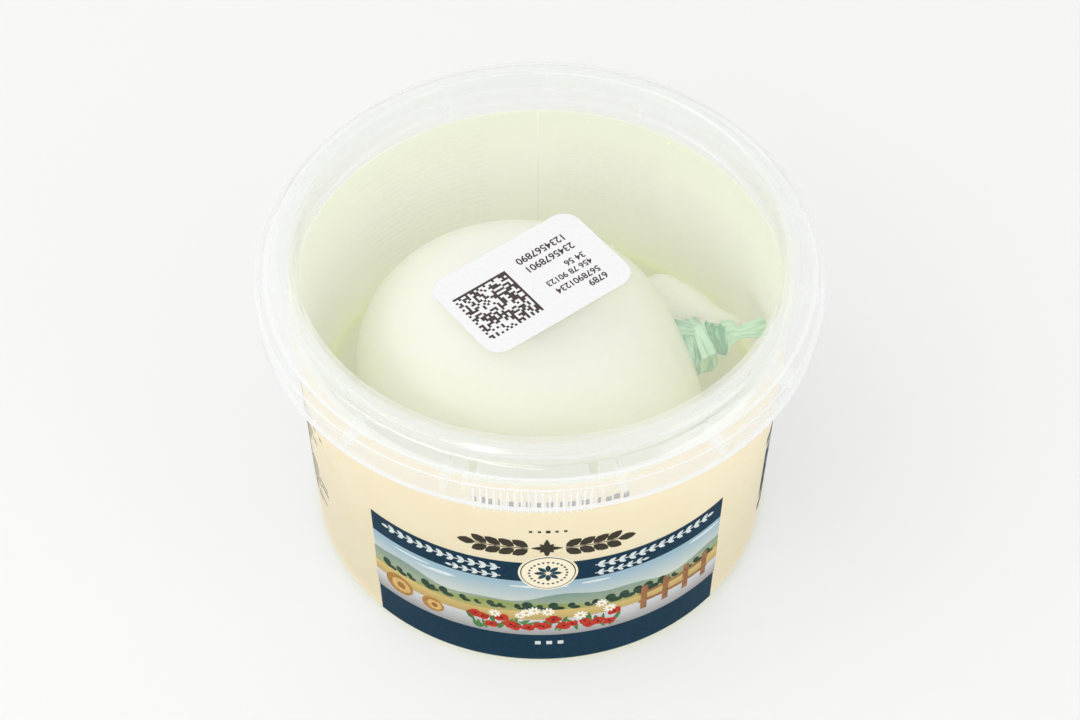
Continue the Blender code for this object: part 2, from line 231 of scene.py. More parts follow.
# polypropylene in thin walls lets light through with a milky haze, thicker to the eye at a slant;
# the mould's turning marks leave faint rings of more and less haze
def milkyPlastic(name, haze, slantHaze, gloss, milkCode, lines):
    material, tree, shader = newMaterial(name)
    tree.nodes.remove(shader)
    output = tree.nodes["Material Output"]
    spot = ringSpot(tree)
    across = addNode(tree, "ShaderNodeSeparateXYZ", {}, {0: spot}).outputs[0]
    rim = spread(tree, across, 0.05, 1.0, 42.8 * mm, 43.4 * mm)  # the flat panel inside the rim is clean
    rings = spread(tree, noiseField(tree, 1.0, 1.0, spot), -lines, lines)
    slant = addNode(tree, "ShaderNodeLayerWeight", {"Blend": 0.5})
    steep = addNode(tree, "ShaderNodeMath", {"operation": "POWER", 1: 5.0}, {0: slant.outputs["Facing"]})
    mirror = addNode(tree, "ShaderNodeMapRange", {"To Min": 0.04, "To Max": 0.9}, {"Value": steep.outputs[0]})
    share = addNode(
        tree, "ShaderNodeMapRange", {"To Min": haze, "To Max": slantHaze}, {"Value": slant.outputs["Facing"]})
    more = addNode(tree, "ShaderNodeMath", {"operation": "MULTIPLY_ADD", 2: 1.0}, {0: rings, 1: rim})
    lined = addNode(
        tree, "ShaderNodeMath", {"operation": "MULTIPLY", "use_clamp": True}, {0: share.outputs[0], 1: more.outputs[0]})
    clear = addNode(tree, "ShaderNodeBsdfTransparent", {"Color": (1, 1, 1, 1)})
    shine = addNode(tree, "ShaderNodeBsdfGlossy", {"Color": (1, 1, 1, 1), "Roughness": gloss})
    front = addNode(tree, "ShaderNodeBsdfDiffuse", {"Color": colour(milkCode)})
    through = addNode(tree, "ShaderNodeBsdfTranslucent", {"Color": colour(milkCode)})
    milk = addNode(tree, "ShaderNodeMixShader", {0: 0.5}, {1: front.outputs[0], 2: through.outputs[0]})
    body = addNode(
        tree, "ShaderNodeMixShader", {}, {0: lined.outputs[0], 1: clear.outputs[0], 2: milk.outputs[0]})
    skin = addNode(
        tree, "ShaderNodeMixShader", {}, {0: mirror.outputs[0], 1: body.outputs[0], 2: shine.outputs[0]})
    tree.links.new(skin.outputs[0], output.inputs["Surface"])
    letLampsThrough(material, colour("#FFFFFF"))
    return material


# natural polypropylene, injection moulded: waxy, milky where it is thick, with a soft gloss
def tubPlastic():
    return milkyPlastic("naturalPolypropylene", 0.14, 0.42, 0.18, "#EFF1F2", 0.04)


# the same plastics, made far whiter and more opaque on the thin moulded edges: a painted highlight for the light the
# wall gathers and gives out at its edge
def paintedHighlightEdge(name):
    return milkyPlastic(name, 0.8, 0.95, 0.18, "#F8F9FB", 0.02)


# and in the upright ribs, two walls' thickness seen together
def mouldedRib():
    return milkyPlastic("tubMouldedRib", 0.35, 0.55, 0.18, "#F8F9FB", 0.02)


# clarified polypropylene, injection moulded: nearly clear, a faint haze and a clean gloss
def lidPlastic():
    return milkyPlastic("clarifiedPolypropylene", 0.07, 0.36, 0.1, "#F9FAFC", 0.2)


# whey with brine: a clear liquid, faintly green-yellow, that bends what is seen through it
def wheyLiquid():
    material, tree, shader = newMaterial(
        "wheyLiquid", Base_Color=colour("#FFFFFF"), IOR=1.34, Roughness=0.0, Transmission_Weight=1.0)
    absorb = addNode(tree, "ShaderNodeVolumeAbsorption", {"Color": (0.90, 0.96, 0.30, 1), "Density": 2.0})
    tree.links.new(absorb.outputs[0], tree.nodes["Material Output"].inputs["Volume"])
    letLampsThrough(material, colour("#FFFFFF"))
    return material


# in-mould label film: printed polypropylene, satin, with the faint orange peel of the moulded wall
def labelFilm():
    material, tree, shader = newMaterial(
        "labelFilmCream", Roughness=0.45, Specular_IOR_Level=0.25, Subsurface_Weight=1.0,
        Subsurface_Scale=0.006, Subsurface_Radius=(1.0, 1.0, 0.9))
    shade = blendColours(tree, spread(tree, noiseField(tree, 9.0), 0.0, 1.0), "#F2CEAC", "#F4D2B2")
    tree.links.new(shade, shader.inputs["Base Color"])
    tree.links.new(spread(tree, noiseField(tree, 3.0), 0.38, 0.46), shader.inputs["Roughness"])
    tree.links.new(bumpFrom(tree, noiseField(tree, 1.6), 0.004), shader.inputs["Normal"])
    plain = addNode(tree, "ShaderNodeBsdfDiffuse", {"Color": colour("#E2E2E2")})  # what it throws about is neutral
    path = addNode(tree, "ShaderNodeLightPath")
    mix = addNode(
        tree, "ShaderNodeMixShader", {},
        {0: path.outputs["Is Diffuse Ray"], 1: shader.outputs[0], 2: plain.outputs[0]})
    tree.links.new(mix.outputs[0], tree.nodes["Material Output"].inputs["Surface"])
    letLampsThrough(material, colour("#CBC4B3"), ("Is Shadow Ray",))  # the film is far from opaque to a lamp
    return material


# the tub's wall seen from inside: natural polypropylene over the label film, light coming in through both; its colour
# is painted darker towards the floor and towards the top of the wall, a painted shade
def labelBack():
    material, tree, shader = newMaterial(
        "wallOverLabelFilmPaintedShade", Roughness=0.5, Specular_IOR_Level=0.2, Subsurface_Weight=1.0,
        Subsurface_Scale=0.006, Subsurface_Radius=(1.0, 1.0, 0.9))
    rings = noiseField(tree, 1.4, 3.0, ringSpot(tree))
    parts = addNode(tree, "ShaderNodeSeparateXYZ", {}, {0: objectSpot(tree)})
    rise = addNode(
        tree, "ShaderNodeMath", {"operation": "MULTIPLY_ADD", 1: 3 * mm}, {0: rings, 2: parts.outputs[2]})
    # painted shade: darker at the floor and the foot of the wall, brightest low in the middle, darker again towards the
    # top
    shade = blendColours(
        tree, spread(tree, rise.outputs[0], 0.0, 1.0, 3 * mm, 57 * mm), "#E9F0AE", "#DCE2C0",
        ((0.2, "#FAFDD3"), (0.6, "#FAFDE1")))
    near = addNode(
        tree, "ShaderNodeMath", {"operation": "COMPARE", 1: -0.4 * mm, 2: 0.2 * mm}, {0: parts.outputs[0]})
    behind = addNode(tree, "ShaderNodeMath", {"operation": "GREATER_THAN", 1: 0.0}, {0: parts.outputs[1]})
    seam = addNode(  # where the film's two ends meet at the back
        tree, "ShaderNodeMath", {"operation": "MULTIPLY"}, {0: near.outputs[0], 1: behind.outputs[0]})
    lined = addNode(
        tree, "ShaderNodeMix", {"data_type": "RGBA"}, {"Factor": seam.outputs[0]})
    tree.links.new(shade, lined.inputs[6])
    lined.inputs[7].default_value = colour("#F2F3D8")
    tree.links.new(lined.outputs[2], shader.inputs["Base Color"])
    tree.links.new(bumpFrom(tree, rings, 0.01), shader.inputs["Normal"])
    letLampsThrough(material, colour("#CBC4B3"), ("Is Shadow Ray",))
    return material


# screen ink under the film's gloss; a little uneven, as a printed field is
def printInk(name, code, darkCode):
    material, tree, shader = newMaterial(name, Roughness=0.5, Specular_IOR_Level=0.05)
    shade = blendColours(tree, spread(tree, noiseField(tree, 0.9, 4.0), 0.0, 1.0), darkCode, code)
    tree.links.new(shade, shader.inputs["Base Color"])
    tree.links.new(bumpFrom(tree, noiseField(tree, 1.6), 0.003), shader.inputs["Normal"])
    letLampsThrough(material, colour("#F6F6F6"))
    return material


# an inked field that changes up its height, as a printed sky does
def fadedInk(name, lowCode, highCode, low, high):
    material, tree, shader = newMaterial(name, Roughness=0.5, Specular_IOR_Level=0.05)
    height = addNode(tree, "ShaderNodeSeparateXYZ", {}, {0: objectSpot(tree)}).outputs[2]
    rough = addNode(
        tree, "ShaderNodeMath", {"operation": "MULTIPLY_ADD", 1: 1.2 * mm}, {0: noiseField(tree, 2.5, 4.0), 2: height})
    shade = blendColours(tree, spread(tree, rough.outputs[0], 0.0, 1.0, low * mm, high * mm), lowCode, highCode)
    tree.links.new(shade, shader.inputs["Base Color"])
    letLampsThrough(material, colour("#FFFFFF"))
    return material


# ink on the far side of the milky wall: it only takes a little of the light away
def inkThroughWall():
    material, tree, shader = newMaterial(
        "inkThroughMilkyWall", Roughness=0.6, Specular_IOR_Level=0.1, Alpha=0.024)
    shade = blendColours(tree, spread(tree, noiseField(tree, 1.2, 3.0), 0.0, 1.0), "#8F9474", "#B4B998")
    tree.links.new(shade, shader.inputs["Base Color"])
    return material


# stretched curd: a smooth wet skin, soft light going in under it, faint cream mottling and pulled fibres
def curdSkin():
    material, tree, shader = newMaterial(
        "stretchedCurd", Roughness=0.45, Subsurface_Weight=0.6,
        Subsurface_Scale=0.004, Subsurface_Radius=(1.0, 0.8, 0.5))
    shade = blendColours(tree, spread(tree, noiseField(tree, 14.0), 0.0, 1.0), "#F1EFE6", "#F3F1EB")
    tree.links.new(shade, shader.inputs["Base Color"])
    stretch = addNode(tree, "ShaderNodeMapping", {"Scale": (0.15, 1.0, 0.5)}, {"Vector": objectSpot(tree)})
    fibres = noiseField(tree, 1.8, 3.0, stretch.outputs[0])
    tree.links.new(bumpFrom(tree, fibres, 0.004), shader.inputs["Normal"])
    tree.links.new(spread(tree, fibres, 0.42, 0.5), shader.inputs["Roughness"])
    return material


# polyethylene ribbon, blown film: pale where one layer stands free, deeper green down in its folds, partly from the
# film lying in more layers there and partly painted shade in the creases
def tieFilm():
    material, tree, shader = newMaterial("tieRibbonFilm", Roughness=0.4, Specular_IOR_Level=0.35)
    # the fold attribute darkens the green in the creases: painted shade
    fold = addNode(tree, "ShaderNodeAttribute", {"attribute_name": "fold"}).outputs["Fac"]
    speckle = addNode(
        tree, "ShaderNodeMath", {"operation": "MULTIPLY_ADD", 1: 0.16}, {0: noiseField(tree, 0.5, 3.0), 2: fold})
    shade = blendColours(tree, spread(tree, speckle.outputs[0], 0.0, 1.0, 0.0, 1.15), "#CDF6DC", "#0F985A")
    tree.links.new(shade, shader.inputs["Base Color"])
    return material


# coated label paper: bright, matt, with a trace of fibre
def labelPaper():
    material, tree, shader = newMaterial("coatedLabelPaper", Roughness=0.55, Specular_IOR_Level=0.3)
    shade = blendColours(tree, spread(tree, noiseField(tree, 0.7, 4.0), 0.0, 1.0), "#E7E7E8", "#EBEBEB")
    tree.links.new(shade, shader.inputs["Base Color"])
    tree.links.new(bumpFrom(tree, noiseField(tree, 0.25, 4.0), 0.004), shader.inputs["Normal"])
    return material


# thermal print: a soft brownish black, slightly uneven at the dot
def thermalPrint():
    material, tree, shader = newMaterial("thermalPrint", Roughness=0.5, Specular_IOR_Level=0.3)
    shade = blendColours(tree, spread(tree, noiseField(tree, 0.3, 3.0), 0.0, 1.0), "#3A2E2E", "#4C3E3E")
    tree.links.new(shade, shader.inputs["Base Color"])
    return material


# air against a wet wall: each bubble a small white bead that glows a little, a painted glint
def airBubblePaintedGlint():
    material, tree, shader = newMaterial(
        "airBubblePaintedGlint", Base_Color=colour("#FFFFFA"), Roughness=0.3, Emission_Color=(1, 1, 0.96, 1), Emission_Strength=0.15)
    return material


# tub

tub = {
    "footRise": 0.8, "footWidth": 3.0, "footRound": 1.5, "insideRound": 3.0, "wall": 0.8,
    "baseRadius": 43.1, "mouthRadius": 44.85, "height": 66.7,
    "beadWidth": 1.15, "beadHeight": 2.4, "beadSlope": 0.7, "edgeRound": 0.6, "lipRound": 0.4,
    "ringRadius": 50.5, "webTop": 62.4, "skirtBottom": 56.6, "skirtRound": 0.25,
    "ribThick": 0.7, "ribDepth": 4.6, "postThick": 1.9, "tabTurn": -1.45, "tabHalf": 12.75,
    "nearRibs": (17.85, 40.05, 62.25), "farRibs": 5,
    "gripRibs": 18, "gripRadius": 0.2, "gripTurn": 1.31, "gripDrop": 0.2, "edgeLine": 0.3,
}
floorTop = tub["footRise"] + tub["wall"]


def wallRadius(height):
    # outside of the tub's tapered wall
    climb = height / (tub["webTop"] - tub["wall"])
    return tub["baseRadius"] + (tub["mouthRadius"] - tub["baseRadius"]) * climb


def insideRounding(shift):
    # from the floor up into the wall, shift mm inside the plastic
    size = tub["insideRound"]
    height = floorTop - shift + size
    edge = wallRadius(height) - tub["wall"] + shift
    return arcPoints((edge - size, height), size, -90, 0, 10)


def tubOutline():
    wall, mouth, ring = tub["wall"], tub["mouthRadius"], tub["ringRadius"]
    lip, soft, skirt = mouth + tub["beadWidth"], tub["edgeRound"], tub["skirtRound"]
    beadBottom = tub["height"] - tub["beadHeight"]
    inside = mouth - wall
    soften = tub["lipRound"]
    outline = [(0, floorTop)] + insideRounding(0) + [(inside, tub["webTop"] - wall)]
    outline += arcPoints((inside + soften, tub["height"] - soften), soften, 180, 90, 5)
    outline += arcPoints((lip - soft, tub["height"] - soft), soft, 90, 0, 6)
    outline += [(lip, beadBottom + tub["beadSlope"]), (mouth, beadBottom), (mouth, tub["webTop"])]
    outline += arcPoints((ring - soft, tub["webTop"] - soft), soft, 90, 0, 6)
    outline += arcPoints((ring - skirt, tub["skirtBottom"] + skirt), skirt, 0, -90, 4)
    outline += arcPoints((ring - wall + skirt, tub["skirtBottom"] + skirt), skirt, -90, -180, 4)
    outline += [(ring - wall, tub["webTop"] - wall), (mouth, tub["webTop"] - wall)]
    corner = tub["footRound"]
    footEdge = wallRadius(corner) - corner
    outline += arcPoints((footEdge, corner), corner, 0, -90, 8)
    footInside = footEdge - tub["footWidth"]
    outline += [(footInside, 0), (footInside - tub["footRise"], tub["footRise"]), (0, tub["footRise"])]
    return outline


def ribTurns():
    last = tub["nearRibs"][-1]
    step = (180 - last) / tub["farRibs"]
    turns = list(tub["nearRibs"]) + [last + step * count for count in range(1, tub["farRibs"])]
    return [side * turn for turn in turns for side in (-1, 1)] + [180]


def roundTheTub(pattern, turns):
    return copiesAt(pattern, [Matrix.Rotation(math.radians(tub["tabTurn"] + turn), 4, "Z") for turn in turns])


def uprightRib(thick):
    # a web between the tub's wall and the skirt, a little thinner at its lower edge
    inner = wallRadius(tub["skirtBottom"]) - 0.5 * tub["wall"]
    outer = tub["ringRadius"] - 0.5 * tub["wall"]
    top = tub["webTop"] - 0.5 * tub["wall"]
    bottom = tub["webTop"] - tub["wall"] - tub["ribDepth"]
    deselectAll()
    bpy.ops.mesh.primitive_cube_add(
        size=1, location=(0, -(inner + outer) / 2 * mm, (top + bottom) / 2 * mm),
        scale=(thick * mm, (outer - inner) * mm, (top - bottom) * mm))
    rib = applyPlace(named("uprightRib"))
    lowest = min(v.co.z for v in rib.data.vertices)
    return moveVertices(rib, lambda p: Vector((p.x * 0.8, p.y, p.z)) if p.z < lowest + mm / 10 else p)


def gripRib():
    # one fine upright ridge of the tear tab's outside
    bottom = tub["skirtBottom"] - tub["gripDrop"]
    top = tub["webTop"] - tub["edgeRound"]
    deselectAll()
    bpy.ops.mesh.primitive_cylinder_add(
        vertices=10, radius=tub["gripRadius"] * mm, depth=(top - bottom) * mm,
        location=(0, -tub["ringRadius"] * mm, (top + bottom) / 2 * mm))
    rib = applyPlace(named("gripRib"))
    return applyModifier(rib, "BEVEL", width=0.07 * mm, segments=2, limit_method="ANGLE")


def whitenEdges(piece, isEdge):
    # isEdge gives each face's material, by distance from the axis and height in mm and by how far it faces
    # round the axis
    for face in piece.data.polygons:
        across = math.hypot(face.center.x, face.center.y)
        round0 = abs(face.normal.y * face.center.x - face.normal.x * face.center.y) / max(across, mm)
        face.material_index = int(isEdge(across / mm, face.center.z / mm, round0))


def makeTub(material, edge, rib):
    shell = turnedPiece("tubShell", tubOutline())
    ribs = roundTheTub(uprightRib(tub["ribThick"]), ribTurns())
    posts = roundTheTub(uprightRib(tub["postThick"]), (-tub["tabHalf"], tub["tabHalf"]))
    middle = (tub["gripRibs"] - 1) / 2
    grips = roundTheTub(gripRib(), [(i - middle) * tub["gripTurn"] for i in range(tub["gripRibs"])])
    for extras in (ribs + posts, grips):
        cutter = joinPieces(extras, "ringExtras")
        applyModifier(shell, "BOOLEAN", operation="UNION", solver="EXACT", object=cutter)
        bpy.data.objects.remove(cutter)
    pickOnly(shell)
    bpy.ops.object.mode_set(mode="EDIT")
    bpy.ops.mesh.select_all(action="SELECT")
    bpy.ops.mesh.remove_doubles(threshold=mm / 2000)
    bpy.ops.mesh.dissolve_degenerate(threshold=mm / 2000)
    bpy.ops.object.mode_set(mode="OBJECT")
    bpy.ops.object.shade_smooth_by_angle(angle=math.radians(40))
    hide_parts("tub")
    dress(shell, material, edge, rib)
    ring, line = tub["ringRadius"], tub["edgeLine"]
    # the ring's lower edge, the web's top edge and the outer faces of the grip ribs and posts take the painted
    # highlight; the upright ribs' broad faces take the rib plastic
    whitenEdges(shell, lambda across, height, round0: 2 if round0 > 0.7 and across < ring else across > ring + 0.06 or (
        across > ring - tub["wall"] - 0.1 and height < tub["skirtBottom"] + line) or (
        across > ring - line and height > tub["webTop"] - line and height < tub["webTop"] + 0.1))
    return shell


# lid

lid = {
    "top": 67.8, "panelTop": 60.6, "recess": 42.93, "wall": 0.8, "panelRound": 0.7, "rimRound": 1.0,
    "shoulder": 47.1, "shoulderRound": 2.0, "stepTop": 65.2, "stepWidth": 0.8, "skirtTop": 64.4,
    "radius": 49.0, "bottom": 62.7, "skirtSlope": 0.4, "edge": 0.3, "beadRoom": 0.75,
}


def lidOutline():
    top, panel, recess, wall = lid["top"], lid["panelTop"], lid["recess"], lid["wall"]
    corner, rim, bend = lid["panelRound"], lid["rimRound"], lid["shoulderRound"]
    slope, edge, room, bottom = lid["skirtSlope"], lid["edge"], lid["beadRoom"], lid["bottom"]
    plug, inside, under = recess + wall, lid["shoulder"] - room, top - wall
    outline = [(0, panel)]
    outline += arcPoints((recess - corner, panel + corner), corner, -90, 0, 6)
    outline += arcPoints((recess + rim, top - rim), rim, 180, 90, 8)
    outline += arcPoints((lid["shoulder"] - bend, top - bend), bend, 90, 0, 12)
    outline += [(lid["shoulder"] + lid["stepWidth"], lid["stepTop"])]
    outline += [(lid["radius"] - lid["stepWidth"], lid["skirtTop"])]
    outline += [(lid["radius"] - slope, lid["skirtTop"] - slope)]
    outline += [(lid["radius"], bottom + edge), (lid["radius"] - edge / 2, bottom)]
    outline += [(lid["radius"] - wall, bottom), (lid["radius"] - wall - slope, lid["skirtTop"] - wall)]
    outline += [(inside, lid["stepTop"] - slope), (inside, under - room), (inside - room, under)]
    outline += [(plug + edge, under), (plug, under - edge), (plug, panel)]
    outline += [(recess, panel - wall), (0, panel - wall)]
    return outline


def makeLid(material, edge):
    cover = turnedPiece("lidShell", lidOutline())
    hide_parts("lid")
    dress(cover, material, edge)
    # the skirt's lower edge takes the painted highlight
    whitenEdges(cover, lambda across, height, round0: across > lid["radius"] - lid["wall"] and height < lid["bottom"] + 0.3)
    return cover


# label, moulded into the wall

label = {"bottom": 1.3, "top": 56.2, "insideTop": 57.2, "proud": 0.02}


def makeLabel(front, back):
    low, high, proud, wall = label["bottom"], label["top"], label["proud"], tub["wall"]
    corner = floorTop + tub["insideRound"]
    outline = [(wallRadius(low) + proud, low), (wallRadius(corner) + proud, corner)]
    outline += [(wallRadius(high) + proud, high)]
    outline += [(wallRadius(label["insideTop"]) - wall - proud, label["insideTop"])]
    outline += reversed(insideRounding(-proud))
    outline += [(0, floorTop + proud), (0, floorTop - wall / 2)]
    outline += [(wallRadius(low) - 2 * wall, floorTop - wall / 2), (wallRadius(low) - wall / 2, low), outline[0]]
    sleeve = dress(turnedPiece("labelSleeve", outline), front, back)
    for face in sleeve.data.polygons:
        across = math.hypot(face.center.x, face.center.y)
        face.material_index = 0 if across > (wallRadius(face.center.z / mm) - wall / 3) * mm else 1
    return sleeve


# print on the label: flat shapes laid out in mm along and up the wall, then wrapped round it

printLayout = {
    "radius": 44.0, "thick": 0.02, "layer": 0.03,
    "left": -33.0, "right": 36.6, "middle": 1.7,
    "bottom": 1.35, "lowBand": 9.9, "highBand": 27.2, "top": 33.0,
    "badge": (1.42, 30.0), "badgeRadius": 5.3,
    "cutPitch": 1.5,
}


def flatBand(left, right, bottom, top, step=2.0):
    # a strip whose lower and upper edges are heights, or functions of the place along the wall
    deselectAll()
    count = max(1, round((right - left) / step))
    bpy.ops.mesh.primitive_grid_add(x_subdivisions=count, y_subdivisions=1, size=1)

    def place(p):
        x = left + (p.x + 0.5) * (right - left)
        edge = top if p.y > 0 else bottom
        return Vector((x, 0, edge(x) if callable(edge) else edge)) * mm
    return moveVertices(bpy.context.object, place)


def flatSpot(x, z, wide, high, turn=0, sides=12, pointed=False):
    # a filled round spot, or a leaf with pointed ends
    deselectAll()
    bpy.ops.mesh.primitive_circle_add(vertices=sides, radius=1, fill_type="NGON")
    swing = Matrix.Rotation(math.radians(turn), 2)

    def place(p):
        high0 = p.y * abs(p.y) if pointed else p.y
        flat = swing @ Vector((p.x * wide / 2, high0 * high / 2))
        return Vector((x + flat.x, 0, z + flat.y)) * mm
    return moveVertices(bpy.context.object, place)


def flatBar(x, z, wide, high, turn=0):
    deselectAll()
    bpy.ops.mesh.primitive_plane_add(size=1)
    swing = Matrix.Rotation(math.radians(turn), 2)

    def place(p):
        flat = swing @ Vector((p.x * wide, p.y * high))
        return Vector((x + flat.x, 0, z + flat.y)) * mm
    return moveVertices(bpy.context.object, place)


def cutUpright(sheet, pitch):
    # upright cuts pitch mm apart, so that the sheet can bend
    first, last = [math.floor(edge(v.co.x for v in sheet.data.vertices) / mm / pitch) for edge in (min, max)]
    pickOnly(sheet)
    bpy.ops.object.mode_set(mode="EDIT")
    for count in range(first + 1, last + 1):
        bpy.ops.mesh.select_all(action="SELECT")
        bpy.ops.mesh.bisect(plane_co=(count * pitch * mm, 0, 0), plane_no=(1, 0, 0), threshold=mm / 10000)
    bpy.ops.object.mode_set(mode="OBJECT")


def wrapPrint(name, shapes, layer, material, sunk=0.0):
    # joined, given the ink's thickness, and bent round the tub's wall, or sunk mm inside it
    sheet = joinPieces(shapes, name)
    cutUpright(sheet, printLayout["cutPitch"])
    applyModifier(sheet, "SOLIDIFY", thickness=printLayout["thick"] * mm, offset=1.0)
    lift = label["proud"] + printLayout["layer"] * layer - sunk

    def place(p):
        turn = p.x / mm / printLayout["radius"]
        reach = (wallRadius(p.z / mm) + lift) * mm - p.y
        return Vector((reach * math.sin(turn), -reach * math.cos(turn), p.z))
    moveVertices(sheet, place)
    return dress(sheet, material)


def leafSprig(x, z, length, leaves, wide, high, lean=35):
    # a level stem with a pair of leaves at each step, pointing to the right, or to the left if length is negative
    side = 1 if length > 0 else -1
    shapes = [flatBar(x + length / 2, z, abs(length), 0.22)]
    for count in range(leaves):
        spot = x + length * (count + 0.6) / leaves
        for up in (-1, 1):
            shapes.append(flatSpot(spot, z + up * high * 0.62, wide, high, side * up * lean, 10, True))
    shapes.append(flatSpot(x + length + side * wide * 0.4, z, wide, high, 0, 10, True))
    return shapes


def makePanel():
    # the navy frame of the front panel
    left, right = printLayout["left"], printLayout["right"]
    navy = printInk("navyInk", "#12364A", "#0E2F42")
    bands = [flatBand(left, right, printLayout["bottom"], printLayout["lowBand"]),
             flatBand(left, right, printLayout["highBand"], printLayout["top"])]
    return [wrapPrint("panelNavy", bands, 1, navy)]


def makeLandscape():
    # a valley: sky, hills one behind the other, round trees, and a terrace with poppies and daisies
    left, right = printLayout["left"], printLayout["right"]
    low, high = printLayout["lowBand"], printLayout["highBand"]
    draw = random.Random(11)
    made = [wrapPrint("printSky", [flatBand(left, right, low, high)], 1,
                      fadedInk("skyInk", "#DAD9C6", "#98B4C2", 18, 27))]
    clouds = [flatSpot(draw.uniform(left + 3, right - 3), draw.uniform(24.6, 26.2), draw.uniform(5, 9),
                       draw.uniform(0.5, 0.9), 0, 20) for count in range(7)]
    made.append(wrapPrint("printClouds", clouds, 2, printInk("cloudInk", "#DCE4E4", "#CCD8DA")))
    far = [flatBand(left, right, low, lambda x: 21.6 + 1.2 * math.sin(x / 6.1 + 0.4) + 0.5 * math.sin(x / 2.3))]
    made.append(wrapPrint("printFarHills", far, 3, fadedInk("farHillInk", "#A9B089", "#7F978C", 18, 23)))
    near = [flatBand(left, right, low, lambda x: 19.2 + 1.1 * math.sin(x / 8.3 + 2.2) + 0.3 * math.sin(x / 1.9))]
    made.append(wrapPrint("printNearHills", near, 4, fadedInk("nearHillInk", "#D0B77C", "#8B9A5E", 15, 20)))
    trees = []
    for count in range(26):
        x = left + 3 + (right - left - 6) * count / 25 + draw.uniform(-0.8, 0.8)
        size = draw.uniform(0.9, 2.1)
        trees.append(flatSpot(x, 18.6 + 0.45 * size, size, size * 1.15, draw.uniform(-20, 20), 9))
        trees.append(flatSpot(x + 0.5 * size, 18.5, size * 1.3, size * 0.7, 0, 9))
    made.append(wrapPrint("printTrees", trees, 5, printInk("treeInk", "#3B5340", "#24392F")))
    meadow = [flatBand(left, right, low, lambda x: 17.6 + 0.5 * math.sin(x / 5.2 + 1.0))]
    made.append(wrapPrint("printMeadow", meadow, 6, fadedInk("meadowInk", "#A58F57", "#CDB474", 14, 18)))
    terrace = [flatBand(left, right, low, lambda x: 15.0 + 0.25 * math.sin(x / 9.0))]
    made.append(wrapPrint("printTerrace", terrace, 7, fadedInk("terraceInk", "#8E8C8A", "#C9CACB", 9.5, 15)))
    return made


def makeFlowers():
    # in front: a bank of leaves, poppies and daisies, fence posts on the right, round loaves of hay on the left
    draw = random.Random(5)
    leaves, poppies, eyes, daisies, hearts = [], [], [], [], []
    for count in range(46):
        x = -13 + 28 * count / 45 + draw.uniform(-0.6, 0.6)
        leaves.append(flatSpot(x, draw.uniform(11.6, 14.6), draw.uniform(2.0, 3.4), draw.uniform(0.7, 1.1),
                               draw.uniform(20, 160), 8, True))
    for count in range(17):
        x, z, size = -12 + 26 * count / 16 + draw.uniform(-0.7, 0.7), draw.uniform(12.0, 15.2), draw.uniform(1.5, 2.4)
        for petal in range(4):
            turn = math.radians(90 * petal + 20 * count)
            poppies.append(flatSpot(x + 0.28 * size * math.cos(turn), z + 0.24 * size * math.sin(turn),
                                    size * 0.8, size * 0.62, 0, 9))
        eyes.append(flatSpot(x, z, size * 0.24, size * 0.2, 0, 7))
    for count in range(9):
        x, z, size = draw.uniform(-9, 13), draw.uniform(15.4, 19.0), draw.uniform(1.8, 2.8)
        for petal in range(9):
            turn = 40 * petal + 11 * count
            spot = math.radians(turn)
            daisies.append(flatSpot(x + 0.3 * size * math.cos(spot), z + 0.3 * size * math.sin(spot),
                                    size * 0.5, size * 0.2, turn, 8))
        hearts.append(flatSpot(x, z, size * 0.26, size * 0.26, 0, 8))
    posts = [flatBar(x, 16.2, 1.3, 7.4, 0) for x in (19.5, 24.0, 28.5, 33.0)]
    posts += [flatBar(26.2, z, 15.5, 0.8, tilt) for z, tilt in ((17.8, 1.5), (15.0, -1.0))]
    bales = [flatSpot(x, z, size, size * 0.92, 0, 24) for x, z, size in ((-27.5, 14.4, 6.2), (-20.3, 13.4, 4.6))]
    straws = [flatSpot(x, z, size, size * 0.92, 0, 20) for x, z, size in ((-27.1, 14.4, 4.2), (-20.0, 13.4, 3.0))]
    middles = [flatSpot(x, z, size, size, 0, 12) for x, z, size in ((-27.0, 14.4, 1.9), (-19.9, 13.4, 1.3))]
    return [
        wrapPrint("printLeaves", leaves, 8, printInk("leafInk", "#5E8B4C", "#3C6A3B")),
        wrapPrint("printPosts", posts, 8, printInk("woodInk", "#A57A54", "#84593B")),
        wrapPrint("printBales", bales, 8, printInk("baleInk", "#B98B4C", "#946A33")),
        wrapPrint("printStraw", straws, 9, printInk("strawInk", "#DDBB7C", "#C39C5C")),
        wrapPrint("printBaleHearts", middles, 10, printInk("baleHeartInk", "#A67A40", "#8C6230")),
        wrapPrint("printPoppies", poppies, 9, printInk("poppyInk", "#C9402F", "#A32B22")),
        wrapPrint("printPoppyEyes", eyes, 10, printInk("poppyEyeInk", "#3A2322", "#2A1A1A")),
        wrapPrint("printDaisies", daisies, 11, printInk("daisyInk", "#F6F3E8", "#E4DFD0")),
        wrapPrint("printDaisyHearts", hearts, 12, printInk("daisyHeartInk", "#D9B44A", "#C39A34")),
    ]


